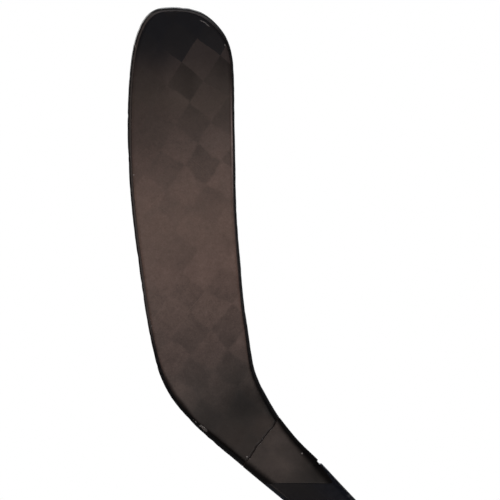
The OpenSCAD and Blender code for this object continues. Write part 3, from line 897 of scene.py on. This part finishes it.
def laminate(name, part):
    """Spread-tow carbon under a satin coat, with tape-adhesive haze plus a painted warm sheen along the blade, and fine
    scratches. part: front, back or wrap.
    """
    M = Mat(name)
    d = M.attr("d_edge")
    dark, ci, cj = weave(M)

    # adhesive haze and painted warm sheen along the blade: base colour of the light cells against the height in a
    # 500-unit front view
    haze_and_sheen_rows = [(0, (.045, .036, .034)), (60, (.048, .0364, .0344)), (80, (.060, .045, .040)), (103, (.0756, .0554, .047)),
            (125, (.088, .061, .053)), (145, (.098, .067, .0575)), (165, (.118, .077, .065)), (187, (.134, .086, .071)),
            (230, (.143, .091, .0735)), (270, (.142, .091, .076)), (309, (.126, .085, .0722)), (350, (.092, .064, .056)),
            (373, (.078, .057, .050)), (390, (.057, .043, .038)), (410, (.046, .036, .032)), (431, (.029, .023, .0205)),
            (455, (.030, .023, .020)), (500, (.030, .023, .020))]
    u = M.mul(M.add(M.x, 259.1), 1 / 0.71)
    v = M.mul(M.sub(383.7, M.z), 1 / 0.71)
    soft = M.mul(M.sub(M.noise(M.P, 0.035, 2.0, 0.5, seed=9.0), 0.5), 22.0)
    tilt = M.mul(M.mul(M.sub(u, 204.0), 0.45), M.step(v, 325, 380))
    place_v = M.mul(M.add(v, M.add(soft, tilt)), 1 / 500.0)
    stops = [(r / 500.0, c) for r, c in haze_and_sheen_rows]
    if part == "back":
        stops = [(p, tuple(0.72 * q for q in c)) for p, c in stops]
    haze_and_sheen = M.ramp(place_v, stops)
    if part == "wrap":
        haze_and_sheen = M.ramp(place_v, [(0.0, (.044, .0325, .0285)), (1.0, (.040, .0305, .0268))])

    # cell contrast: strongest toward the toe and the top edge
    acr = M.add(M.mul(M.x, 0.9986), M.add(M.mul(M.z, 0.0523), 112.0))
    zone = M.step(acr, -30, 14)
    up = M.step(M.z, 205, 300)
    if part == "back":
        amp = M.add(0.16, M.mul(up, 0.10))
    elif part == "wrap":
        amp = 0.13
    else:
        amp = M.add(M.add(0.085, M.mul(zone, 0.07)), M.mul(up, M.sub(M.mul(zone, 0.32), 0.03)))
        amp = M.add(amp, M.mul(M.step(v, 300, 345), 0.06))
    # some tows stand out more than others
    if part != "wrap":
        amp = M.mul(amp, M.add(0.55, M.mul(M.step(M.noise(M.P, 0.030, 2.0, 0.5, seed=19.0), 0.36, 0.62), 0.85)))
    tone = M.sub(1.0, M.mul(dark, amp))
    if part == "front":
        left = M.step(u, 178, 152)
        tone = M.mul(tone, M.sub(1.0, M.mul(left, M.add(0.06, M.mul(M.step(v, 178, 140), 0.09)))))
    # fine tow streaks along each cell's own fibre direction
    st_a = M.noise(M.vec(M.mul(ci, 1.2), M.mul(cj, 26.0), 0.0), 1.0, 2.0, 0.6, seed=2.0)
    st_b = M.noise(M.vec(M.mul(ci, 26.0), M.mul(cj, 1.2), 0.0), 1.0, 2.0, 0.6, seed=4.0)
    streak = M.lerp(st_b, st_a, dark)
    tone = M.mul(tone, M.add(0.93, M.mul(streak, 0.14)))
    # each tow differs a little from the next
    cell = M.t.nodes.new("ShaderNodeTexWhiteNoise")
    cell.noise_dimensions = "2D"
    M.put(cell.inputs["Vector"], M.vec(M.f("ROUND", ci), M.f("ROUND", cj), 0.0))
    tone = M.mul(tone, M.add(0.95, M.mul(cell.outputs["Value"], 0.10)))

    # haze mottling, rubbed specks and scratches over the middle of the blade
    used = M.mul(M.step(M.z, 345, 270), M.step(M.z, 62, 110)) if part != "wrap" else 0.55
    mot = M.noise(M.P, 0.16, 4.0, 0.62, seed=5.0)
    blot = M.noise(M.P, 0.065, 2.0, 0.55, seed=25.0)
    grain = M.noise(M.P, 0.40, 4.0, 0.65, seed=26.0)
    fleck = M.noise(M.P, 0.85, 3.0, 0.62, seed=27.0)
    cloud = M.add(M.mul(M.sub(mot, 0.5), 0.55), M.add(M.mul(M.sub(blot, 0.5), 0.34), M.mul(M.sub(grain, 0.5), 0.66)))
    cloud = M.add(cloud, M.mul(M.sub(fleck, 0.5), 0.72))
    tone = M.mul(tone, M.add(1.0, M.mul(cloud, M.add(0.25, M.mul(used, 0.75)))))
    fine = M.noise(M.P, 0.75, 3.0, 0.6, seed=6.0)
    speck = M.mul(M.step(fine, 0.60, 0.74), used)
    tone = M.add(tone, M.mul(speck, 0.26))
    pit = M.mul(M.step(M.noise(M.P, 0.5, 2.0, 0.5, seed=8.0), 0.30, 0.20), used)
    tone = M.mul(tone, M.sub(1.0, M.mul(pit, 0.30)))
    sc1 = M.step(M.noise(M.turn(47, 46, 0.62), 1.0, 2.0, 0.5, seed=11.0), 0.655, 0.70)
    sc2 = M.step(M.noise(M.turn(-38, 34, 0.58), 1.0, 2.0, 0.5, seed=13.0), 0.665, 0.71)
    sc3 = M.step(M.noise(M.turn(80, 60, 0.7), 1.0, 2.0, 0.5, seed=15.0), 0.67, 0.72)
    scr = M.f("MAXIMUM", M.f("MAXIMUM", sc1, sc2), sc3)
    where = M.step(M.noise(M.P, 0.03, 1.0, 0.5, seed=17.0), 0.40, 0.62)
    scr = M.mul(M.mul(scr, where), M.add(0.25, M.mul(used, 0.75)))
    tone = M.add(tone, M.mul(scr, 0.22))

    if part == "front":
        # darker rubbed patch over the heel, clean patch at the toe, brighter haze by the heel's ice edge
        for (u0, v0, rx, rz, deg, k) in ((244, 401, 15, 12, -30, -0.54), (222, 414, 22, 9, -40, -0.10),
                                         (150, 46, 12, 6, 20, -0.10), (183, 397, 11, 12, -50, 0.34),
                                         (224, 148, 9, 14, 0, 0.12), (240, 345, 3.2, 3.2, 0, 0.25), (186, 84, 17, 20, 0, 0.17),
                                         (202, 164, 15, 18, 0, 0.09), (236, 326, 13, 14, 0, 0.08), (210, 204, 14, 16, 0, -0.08),
                                         (142, 256, 12, 16, 0, -0.09), (276, 425, 12, 9, -50, 0.14), (177, 253, 15, 17, 0, -0.08), (148, 131, 12, 14, 0, -0.08),
                                         (262, 425, 9, 6, -50, 0.10), (152, 260, 16, 30, 0, 0.05)):
            x0, z0 = at(u0, v0)
            tone = M.mul(tone, M.add(1.0, M.mul(M.spot(x0, z0, rx * 0.71 * 1.2, rz * 0.71 * 1.2, deg, 0.75), k)))
    if part == "wrap":
        tone = M.mul(tone, M.add(0.85, M.mul(M.noise(M.P, 0.06, 3.0, 0.5, seed=21.0), 0.5)))
        for (u0, v0, rx, rz, deg, k) in ((277, 442, 8, 6, -20, 0.22), (262, 452, 12, 8, -40, 0.08), (286, 462, 10, 7, -40, 0.20),
                                         (322, 474, 21, 14, -42, -0.80)):
            x0, z0 = at(u0, v0)
            tone = M.mul(tone, M.add(1.0, M.mul(M.spot(x0, z0, rx * 0.9, rz * 0.9, deg, 0.75), k)))
    if part == "wrap":
        tone = M.mul(tone, M.sub(1.0, M.mul(M.step(v, 464, 484), 0.30)))
    if part == "front":
        tone = M.mul(tone, M.sub(1.0, M.mul(M.step(M.attr("s_par"), FACE_END - 0.13, FACE_END - 0.01), 0.35)))
    col = M.scale(haze_and_sheen, tone)
    low = M.step(M.add(M.mul(M.x, 0.697), M.mul(M.z, 0.717)), 0, -12)
    if part != "wrap":
        # the toe has neither haze nor painted sheen and is almost black down to the cell borders
        vc = M.add(164.3, M.add(M.mul(M.f("ROUND", ci), 17.3), M.mul(M.f("ROUND", cj), 23.3)))
        crisp = M.step(vc, 50, 53)
        fade = M.step(M.add(v, M.mul(M.step(u, 160, 185), 4.0)), 40, 80)
        rise = M.lerp(fade, crisp, M.step(u, 160, 190)) if part == "front" else M.lerp(fade, crisp, 0.35)
        bare_toe_black = M.mix((0.0125, 0.0124, 0.0150), (0.0095, 0.0094, 0.0122), M.mul(mot, 1.0))
        bare_toe_black = M.scale(bare_toe_black, M.sub(1.12, M.mul(dark, 0.2)))
        col = M.mix(bare_toe_black, col, rise)

    # darker toward the border: the hosel wrap's rounded corners get a painted near-black shade, and the skins darken
    # along the band, wider at the heel
    if part == "wrap":
        s = M.attr("s_par")
        yp = M.f("ABSOLUTE", M.attr("y_par"))
        near_nick = M.mul(M.step(M.x, -52, -30), 1.5)
        # painted shade: the wrap's rounded corners are painted near-black
        clear_of_edge_shade = M.mul(M.step(M.sub(M.add(d, M.mul(M.sub(mot, 0.5), 1.6)), M.add(near_nick, M.mul(low, 1.1))), 2.5, 7.0), M.step(yp, 0.80, 0.985))
        col = M.mix((0.0040, 0.0034, 0.0034), col, clear_of_edge_shade)
    else:
        heel = M.step(M.z, 140, 84)
        worn = M.spot(at(196, 0)[0], at(0, 423)[1], 10, 7, -42, 0.7) if part == "front" else 0.0
        heel = M.mul(heel, M.sub(1.0, M.mul(worn, 0.75)))
        w = M.add(2.05, M.mul(heel, 1.9))
        inb = M.step(M.f("DIVIDE", M.sub(M.add(d, M.mul(M.sub(mot, 0.5), 1.0)), w), M.add(1.3, M.mul(heel, 2.4))), -0.08, 1.0)
        k = M.sub(0.55, M.mul(heel, 0.32))
        if part == "front":
            k = M.add(k, M.mul(M.mul(M.step(M.attr("f_par"), 0.4, 0.1), M.step(M.z, 110, 160)), 0.30))
        col = M.mix(M.scale(col, k), col, inb)
        if part == "front":
            # painted highlight: thin light line where the face meets the band along the top edge
            top = M.step(M.attr("f_par"), 0.6, 0.9)
            lip_highlight = M.mul(M.step(d, 3.1, 2.3), top)
            span = M.mul(M.step(M.z, 120, 235), M.step(M.z, 352, 300))
            lip_highlight_peak = M.spot(at(231, 0)[0], at(0, 142)[1], 30, 26, 0, 0.9)
            lip_highlight = M.mul(lip_highlight, M.mul(span, M.add(0.14, M.mul(lip_highlight_peak, 0.86))))
            col = M.mix(col, (0.37, 0.285, 0.265), lip_highlight)

    # chips in the coat
    if part == "front":
        chips = [(203.5, 23.0, 3.4, 0.34, -24), (207.5, 26.0, 2.6, 0.34, -38), (225, 46, 0.45, 0.9, 10),
                 (134, 175, 0.75, 0.5, 0), (136, 229, 0.7, 0.6, 20), (151, 326, 0.9, 0.9, 0), (203.5, 427.4, 4.4, 0.8, -40),
                 (247.0, 456.6, 0.8, 0.45, -35)]
    elif part == "wrap":
        chips = [(249.6, 458.6, 0.9, 0.45, -40), (302, 453.3, 0.8, 0.7, 0)]
    else:
        chips = [(150, 120, 0.8, 0.8, 0), (210, 240, 0.7, 0.7, 0), (180, 330, 0.6, 4.0, -40), (195, 60, 0.8, 0.6, 0)]
    m = None
    for (u0, v0, rx, rz, deg) in chips:
        x0, z0 = at(u0, v0)
        s1 = M.spot(x0, z0, rx * 0.71, rz * 0.71, deg, 0.3)
        m = s1 if m is None else M.f("MAXIMUM", m, s1)
    m = M.mul(m, M.step(M.noise(M.P, 2.2, 3.0, 0.6, seed=30.0), 0.34, 0.56))
    col = M.mix(col, (0.40, 0.37, 0.36), M.mul(m, 0.6 if part == "wrap" else 0.85))
    if part == "front":
        long_scratch = M.spot(at(195.4, 303)[0], at(0, 303)[1], 8.6, 0.16, 47.0, 0.5)
        col = M.mix(col, M.scale(col, 1.55), M.mul(long_scratch, 0.8))

    # surface
    inside = M.add(0.10, M.mul(clear_of_edge_shade, 0.90)) if part == "wrap" else M.f("MAXIMUM", M.mul(M.step(M.z, 150, 230), 0.6), M.add(0.06, M.mul(M.step(M.sub(d, M.mul(M.mul(heel, low), 1.0)), 2.6, 4.6), 0.94)))
    peel = M.noise(M.P, 0.12, 2.0, 0.5, seed=40.0)
    h = M.add(M.mul(peel, 0.6), M.mul(streak, 0.05))
    n1 = M.bump(h, 0.10, 0.5)
    n1 = M.bump(M.sub(0.0, scr), 0.02, 0.6, n1)
    rough = M.add(0.34, M.mul(M.sub(mot, 0.5), 0.18))
    rough = M.add(rough, M.mul(used, 0.06))
    ta = Vector((16.33, 0, -12.28)).normalized()
    tb = Vector((-10.65, 0, -16.54)).normalized()
    tang = M.vmix(tuple(tb), tuple(ta), dark)
    M.surface(Base_Color=col, Roughness=rough, Anisotropic=0.45, Tangent=tang, Normal=n1,
              Specular_IOR_Level=M.mul(inside, 0.28), Coat_Weight=M.mul(inside, 0.20), Coat_Roughness=M.add(0.22, M.mul(M.sub(mot, 0.5), 0.2)), Coat_IOR=1.45)
    return M.m


def band_mat():
    M = Mat("edge_resin")
    d, o, s, side = M.attr("d_edge"), M.attr("o_par"), M.attr("s_par"), M.attr("side")
    nz = M.noise(M.P, 0.35, 4.0, 0.6, seed=2.0)
    big = M.noise(M.P, 0.045, 2.0, 0.5, seed=3.0)
    base = M.mix((0.0055, 0.0052, 0.0058), (0.015, 0.013, 0.0135), M.step(nz, 0.35, 0.7))
    heel = M.step(M.z, 128, 80)
    shine = M.step(M.z, 110, 210)
    base = M.mix(base, (0.0035, 0.0032, 0.0034), heel)
    # painted highlight: lighter grey shoulder between the outer corner and the face along the ice edge
    ice_edge_highlight = M.mul(M.mul(M.step(d, 0.50, 1.0), M.step(o, -0.5, -0.9)), M.mul(M.step(side, 0.5, 0.2), M.step(M.z, 128, 165)))
    base = M.mix(base, (0.066, 0.054, 0.050), M.mul(ice_edge_highlight, M.add(0.55, M.mul(nz, 0.7))))
    # painted highlight: the forehand wall of the toe's rim is lightened where light from above would catch it
    rim = M.mul(M.mul(M.step(d, 0.55, 1.0), M.step(d, 2.6, 1.9)), M.mul(M.mul(M.step(M.z, 358, 372), M.step(M.x, -154, -146)), M.step(o, -0.5, -0.9)))
    base = M.mix(base, (0.085, 0.078, 0.080), M.mul(rim, M.add(0.40, M.mul(nz, 0.8))))
    # rubbed grey on the outer corner, in patches
    corner = M.mul(M.mul(M.step(d, 1.6, 0.2), M.step(M.f("ABSOLUTE", o), 0.35, 0.85)), M.sub(1.0, M.mul(heel, 0.85)))
    rub = M.mul(M.mul(corner, M.step(nz, 0.50, 0.66)), M.step(big, 0.42, 0.60))
    col = M.mix(base, (0.060, 0.056, 0.055), M.mul(rub, 0.7))
    # the toe's rim is lightened grey: rubbed wear plus a painted sheen
    toe = M.mul(M.step(M.z, 356, 372), M.step(d, 0.9, 0.1))
    col = M.mix(col, (0.022, 0.020, 0.021), M.mul(toe, M.mul(nz, 0.5)))
    # painted highlight: thin light line on the inner lip along the top edge and round the toe
    lip = M.mul(M.step(d, 1.75, 1.95), M.step(o, -0.6, -0.95))
    top = M.mul(M.step(side, 0.6, 0.9), M.mul(M.step(M.z, 120, 240), M.step(M.z, 356, 305)))
    toe_lip_highlight = M.mul(M.step(M.z, 350, 368), 0.20)
    lip_highlight = M.mul(lip, M.f("MAXIMUM", M.mul(top, M.add(0.35, M.mul(M.spot(-94.5, 283, 30, 26, 0, 0.9), 0.65))), toe_lip_highlight))
    col = M.mix(col, (0.22, 0.17, 0.16), lip_highlight)
    # worn light patch on the lower edge just before the hosel
    worn = None
    for (u0, v0, rx, rz, deg) in ((203, 428.2, 4.8, 0.95, -40), (195, 421.0, 2.4, 0.5, -42),
                                  (131, 157, 0.7, 0.9, 0), (132, 190, 0.7, 0.8, 0),
                                  (130, 85, 0.45, 2.6, 2), (136, 47, 0.5, 2.4, 14), (152, 327, 0.8, 0.9, 0)):
        x0, z0 = at(u0, v0)
        q = M.spot(x0, z0, rx * 0.71, rz * 0.71, deg, 0.4)
        worn = q if worn is None else M.f("MAXIMUM", worn, q)
    worn = M.mul(worn, M.step(M.noise(M.P, 0.9, 3.0, 0.6, seed=5.0), 0.36, 0.56))
    worn = M.mul(worn, M.step(M.y, 1.5, -1.0))
    col = M.mix(col, (0.20, 0.175, 0.165), M.mul(worn, 0.8))
    nick = M.mul(M.mul(M.step(M.noise(M.P, 0.8, 2.0, 0.5, seed=9.0), 0.70, 0.76), corner), 0.5)
    col = M.mix(col, (0.16, 0.15, 0.145), nick)
    rough = M.add(0.30, M.add(M.mul(nz, 0.16), M.mul(rub, 0.25)))
    nb = M.bump(M.noise(M.P, 0.5, 3.0, 0.6, seed=6.0), 0.08, 0.5)
    M.surface(Base_Color=col, Roughness=rough, Normal=nb,
              Specular_IOR_Level=M.add(0.05, M.mul(shine, 0.15)), Coat_Weight=M.add(0.01, M.mul(shine, 0.09)), Coat_Roughness=0.2)
    return M.m


def sleeve_mat():
    M = Mat("sleeve_coat")
    x, y = M.attr("x_par"), M.attr("y_par")
    nz = M.noise(M.P, 0.25, 4.0, 0.6, seed=2.0)
    base = M.mix((0.0045, 0.0052, 0.0085), (0.0078, 0.0084, 0.0120), M.step(nz, 0.35, 0.7))
    # the forehand side shows a little of the cloth under the tinted coat just past the border
    face = M.mul(M.step(y, -0.85, -0.99), M.step(M.z, 8, 38))
    base = M.mix(base, (0.0085, 0.0076, 0.0082), M.mul(face, M.step(x, 0.7, -0.2)))
    rub = M.mul(M.mul(M.step(M.f("ABSOLUTE", x), 0.86, 0.96), M.step(M.f("ABSOLUTE", y), 0.6, 0.9)),
                M.step(nz, 0.52, 0.68))
    col = M.mix(base, (0.075, 0.075, 0.080), M.mul(rub, 0.6))
    sc = M.step(M.noise(M.turn(-43, 30, 0.6), 1.0, 2.0, 0.5, seed=7.0), 0.67, 0.72)
    col = M.mix(col, (0.03, 0.03, 0.034), M.mul(sc, 0.3))
    nb = M.bump(M.noise(M.P, 0.14, 2.0, 0.5, seed=4.0), 0.12, 0.5)
    ends = M.f("MAXIMUM", M.step(x, -0.72, -0.93), M.mul(M.step(x, 0.72, 0.93), M.step(M.z, 54, 49)))
    dull = M.sub(1.0, M.mul(M.mul(ends, M.step(y, 0.2, -0.4)), 0.82))
    M.surface(Base_Color=col, Roughness=M.add(0.26, M.mul(nz, 0.12)), Normal=nb, Specular_IOR_Level=M.mul(dull, 0.14),
              Coat_Weight=M.mul(dull, 0.3), Coat_Roughness=0.08)
    return M.m


def bead_mat():
    M = Mat("seam_adhesive")
    nz = M.noise(M.P, 1.2, 3.0, 0.6, seed=2.0)
    col = M.mix((0.0085, 0.0052, 0.0045), (0.021, 0.0135, 0.012), nz)
    M.surface(Base_Color=col, Roughness=0.65, Normal=M.bump(nz, 0.15, 0.7), Specular_IOR_Level=0.12)
    return M.m


def collar_mat():
    M = Mat("collar_resin")
    nz = M.noise(M.P, 0.5, 4.0, 0.6, seed=2.0)
    col = M.mix((0.010, 0.010, 0.012), (0.024, 0.024, 0.027), nz)
    rub = M.step(M.noise(M.P, 0.9, 3.0, 0.6, seed=3.0), 0.60, 0.72)
    col = M.mix(col, (0.09, 0.09, 0.09), M.mul(rub, 0.35))
    M.surface(Base_Color=col, Roughness=M.add(0.38, M.mul(nz, 0.2)), Normal=M.bump(nz, 0.08, 0.6),
              Specular_IOR_Level=0.45)
    return M.m


def tenon_mat():
    M = Mat("sanded_carbon")
    # plain 2 mm weave, sanded dull, with sanding lines across the shaft axis
    c, s = SH_D
    a = M.add(M.mul(M.x, c), M.mul(M.z, s))
    b = M.add(M.mul(M.x, SH_N[0]), M.mul(M.z, SH_N[1]))
    w = M.add(b, M.y)
    i, j = M.mul(M.add(a, w), 0.36), M.mul(M.sub(a, w), 0.36)
    par = M.f("PINGPONG", M.add(M.f("ROUND", i), M.f("ROUND", j)), 1.0)
    nz = M.noise(M.P, 0.3, 4.0, 0.6, seed=2.0)
    col = M.mix((0.018, 0.018, 0.020), (0.032, 0.032, 0.035), M.add(M.mul(par, 0.5), M.mul(nz, 0.5)))
    sand = M.noise(M.vec(M.mul(a, 0.15), M.mul(w, 3.0), 0.0), 1.0, 3.0, 0.6, seed=5.0)
    col = M.mix(col, (0.075, 0.073, 0.070), M.mul(M.step(sand, 0.55, 0.72), 0.45))
    dust = M.step(M.noise(M.P, 0.09, 3.0, 0.6, seed=8.0), 0.50, 0.70)
    col = M.mix(col, (0.10, 0.095, 0.085), M.mul(dust, 0.25))
    M.surface(Base_Color=col, Roughness=M.add(0.48, M.mul(sand, 0.22)), Specular_IOR_Level=0.4,
              Normal=M.bump(M.add(sand, M.mul(par, 0.3)), 0.06, 0.7))
    return M.m


def glue_mat():
    M = Mat("hot_melt_film")
    nz = M.noise(M.P, 0.35, 3.0, 0.6, seed=2.0)
    col = M.mix((0.30, 0.19, 0.065), (0.52, 0.38, 0.17), nz)
    dirt = M.step(M.noise(M.P, 1.1, 3.0, 0.6, seed=4.0), 0.60, 0.72)
    col = M.mix(col, (0.12, 0.08, 0.04), M.mul(dirt, 0.5))
    M.surface(Base_Color=col, Roughness=M.add(0.30, M.mul(nz, 0.2)), Subsurface_Weight=0.25, Subsurface_Scale=0.002,
              Normal=M.bump(nz, 0.2, 0.6), Coat_Weight=0.3, Coat_Roughness=0.2)
    return M.m


def cap_mat():
    M = Mat("moulded_cap")
    nz = M.noise(M.P, 2.2, 3.0, 0.6, seed=2.0)
    big = M.noise(M.P, 0.2, 2.0, 0.5, seed=3.0)
    col = M.mix((0.022, 0.022, 0.024), (0.040, 0.040, 0.043), big)
    M.surface(Base_Color=col, Roughness=M.add(0.46, M.mul(big, 0.15)), Normal=M.bump(nz, 0.05, 0.6), Specular_IOR_Level=0.4)
    return M.m


def foam_mat():
    M = Mat("closed_cell_foam")
    v = M.t.nodes.new("ShaderNodeTexVoronoi")
    M.put(v.inputs["Vector"], M.P)
    v.inputs["Scale"].default_value = 1.4
    nz = M.noise(M.P, 0.2, 3.0, 0.6, seed=2.0)
    col = M.mix((0.55, 0.49, 0.34), (0.74, 0.70, 0.56), nz)
    col = M.mix(col, (0.36, 0.32, 0.22), M.mul(M.step(v.outputs["Distance"], 0.25, 0.6), 0.4))
    M.surface(Base_Color=col, Roughness=0.85, Normal=M.bump(v.outputs["Distance"], 0.25, 0.8))
    return M.m


def rib_mat():
    M = Mat("plain_carbon")
    st = M.noise(M.turn(87, 30, 0.4), 1.0, 2.0, 0.6, seed=2.0)
    col = M.mix((0.012, 0.012, 0.013), (0.035, 0.035, 0.038), st)
    M.surface(Base_Color=col, Roughness=0.5, Normal=M.bump(st, 0.08, 0.6))
    return M.m


def dress(ob, mat, slot_name, *nodes):
    ob.data.materials.append(mat)
    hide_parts(*nodes)
    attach(ob, "root")


dress(front_skin, laminate("laminate_face", "front"), "laminate", "front_skin")
dress(back_skin, laminate("laminate_back", "back"), "laminate", "back_skin")
dress(hosel_wrap, laminate("laminate_hosel", "wrap"), "laminate", "hosel_wrap")
dress(band, band_mat(), "edge_resin", "edge_band")
dress(end_sleeve, sleeve_mat(), "sleeve_gloss", "end_sleeve")
dress(seam_bead, bead_mat(), "adhesive", "seam_bead")
dress(collar, collar_mat(), "sleeve_gloss", "shoulder_collar")
dress(tenon, tenon_mat(), "tenon_laminate", "tenon")
dress(glue, glue_mat(), "hot_melt", "glue_strips")
dress(cap, cap_mat(), "cap", "tenon_end_cap")

foam, rib = foam_mat(), rib_mat()
for n in ("toe_core", "upper_core", "lower_core", "heel_core", "hosel_core", "tenon_core", "center_rib", "toe_web", "heel_web"):
    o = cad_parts[n]
    mat = foam if n.endswith("core") else rib
    if not o.material_slots:
        o.data.materials.append(mat)
    for sl in o.material_slots:
        sl.link = "OBJECT"
        sl.material = mat

# ----------------------------------------------------------------------------
# Floor, light, camera
# ----------------------------------------------------------------------------
lo, hi = CAD_BOX
floor_z = lo[2]


def floor():
    n = 96
    rings = [0.0, 0.1, 0.2, 0.3, 0.45, 0.6, 0.9]
    v, f = [(0, 0, 0)], []
    for r in rings[1:]:
        for i in range(n):
            a = 2 * math.pi * i / n
            v.append((r * math.cos(a), r * math.sin(a), 0))
    for i in range(n):
        f.append((0, 1 + i, 1 + (i + 1) % n))
    for k in range(len(rings) - 2):
        for i in range(n):
            a = 1 + k * n + i
            b = 1 + k * n + (i + 1) % n
            f.append((a, a + n, b + n, b))
    me = bpy.data.meshes.new("floor")
    me.from_pydata(v, [], f)
    ob = bpy.data.objects.new("floor", me)
    bpy.context.scene.collection.objects.link(ob)
    ob.location = (0.0, 0.0, floor_z)
    M = Mat("floor_pale")
    M.t.nodes.remove(M.out)
    M.out = M.t.nodes.new("ShaderNodeOutputMaterial")
    r = M.f("SQRT", M.add(M.mul(M.x, M.x), M.mul(M.y, M.y)))
    dif = M.t.nodes.new("ShaderNodeBsdfDiffuse")
    dif.inputs[0].default_value = (0.93, 0.93, 0.93, 1)
    clear = M.t.nodes.new("ShaderNodeBsdfTransparent")
    mx = M.t.nodes.new("ShaderNodeMixShader")
    M.put(mx.inputs[0], M.step(r, 130.0, 420.0))
    em = M.t.nodes.new("ShaderNodeEmission")
    em.inputs[1].default_value = 0.20
    both = M.t.nodes.new("ShaderNodeAddShader")
    M.t.links.new(dif.outputs[0], both.inputs[0])
    M.t.links.new(em.outputs[0], both.inputs[1])
    M.t.links.new(both.outputs[0], mx.inputs[1])
    M.t.links.new(clear.outputs[0], mx.inputs[2])
    M.t.links.new(mx.outputs[0], M.out.inputs[0])
    me.materials.append(M.m)
    return ob


floor()

world = bpy.data.worlds.new("studio")
bpy.context.scene.world = world
world.use_nodes = True
nt = world.node_tree
nt.nodes.clear()
wo = nt.nodes.new("ShaderNodeOutputWorld")
bg_cam = nt.nodes.new("ShaderNodeBackground")
bg_cam.inputs[0].default_value = (1, 1, 1, 1)
bg_cam.inputs[1].default_value = 1.0
bg_env = nt.nodes.new("ShaderNodeBackground")
lp = nt.nodes.new("ShaderNodeLightPath")
mx = nt.nodes.new("ShaderNodeMixShader")
tc = nt.nodes.new("ShaderNodeTexCoord")
sep = nt.nodes.new("ShaderNodeSeparateXYZ")
rp = nt.nodes.new("ShaderNodeValToRGB")
mr = nt.nodes.new("ShaderNodeMapRange")
mr.inputs["From Min"].default_value = -1.0
mr.inputs["From Max"].default_value = 1.0
nt.links.new(tc.outputs["Generated"], sep.inputs[0])
nt.links.new(sep.outputs[2], mr.inputs["Value"])
nt.links.new(mr.outputs[0], rp.inputs[0])
el = rp.color_ramp.elements
el[0].position, el[0].color = 0.30, (0.03, 0.03, 0.035, 1)
el[1].position, el[1].color = 1.0, (0.20, 0.21, 0.24, 1)
e = el.new(0.52)
e.color = (0.16, 0.16, 0.17, 1)
e = el.new(0.75)
e.color = (0.26, 0.27, 0.30, 1)
nt.links.new(rp.outputs[0], bg_env.inputs[0])
bg_env.inputs[1].default_value = 0.5
nt.links.new(lp.outputs["Is Camera Ray"], mx.inputs[0])
nt.links.new(bg_env.outputs[0], mx.inputs[1])
nt.links.new(bg_cam.outputs[0], mx.inputs[2])
nt.links.new(mx.outputs[0], wo.inputs[0])

AIM = Vector((-0.09, 0.0, 0.18))


def softbox(name, loc, size, power, color=(1, 1, 1), spec=1.0, aim=AIM):
    L = bpy.data.lights.new(name, "AREA")
    L.shape = "RECTANGLE"
    L.size, L.size_y = size
    L.energy = power
    L.color = color
    L.specular_factor = spec
    ob = bpy.data.objects.new(name, L)
    bpy.context.scene.collection.objects.link(ob)
    ob.location = loc
    ob.rotation_euler = (aim - Vector(loc)).to_track_quat("-Z", "Y").to_euler()
    ob.visible_camera = False
    return ob


softbox("key_left", (-1.3, -1.5, 1.35), (1.1, 1.1), 19.5, (1.0, 0.985, 0.96))
softbox("fill_right", (1.6, -1.2, 0.8), (1.2, 1.2), 8.5, (0.95, 0.97, 1.0))
softbox("warm_low", (-0.05, -1.7, -0.30), (0.9, 0.40), 2.9, (1.0, 0.84, 0.75), aim=Vector((-0.09, 0, 0.2)))
softbox("top", (0.1, 1.15, 1.55), (1.1, 0.8), 12, (0.97, 0.98, 1.0))
softbox("back_left", (-1.3, 1.5, 1.0), (1.1, 1.1), 16, (1.0, 0.99, 0.97))
softbox("back_right", (1.4, 1.4, 0.7), (1.1, 1.1), 11, (0.96, 0.98, 1.0))

cam_d = bpy.data.cameras.new("camera")
cam = bpy.data.objects.new("camera", cam_d)
bpy.context.scene.collection.objects.link(cam)
DIST, CX, CZ, WIDE = 8.0, -0.0816, 0.2062, 0.355
cam.location = (CX, -DIST, CZ)
cam.rotation_euler = (math.radians(90), 0, 0)
cam_d.sensor_width = 36.0
cam_d.lens = 36.0 * DIST / WIDE
cam_d.clip_end = 50.0
bpy.context.scene.camera = cam

bpy.context.scene.view_settings.view_transform = "Standard"
bpy.context.scene.view_settings.look = "None"
bpy.context.scene.view_settings.exposure = 0.0
bpy.context.scene.view_settings.gamma = 1.0
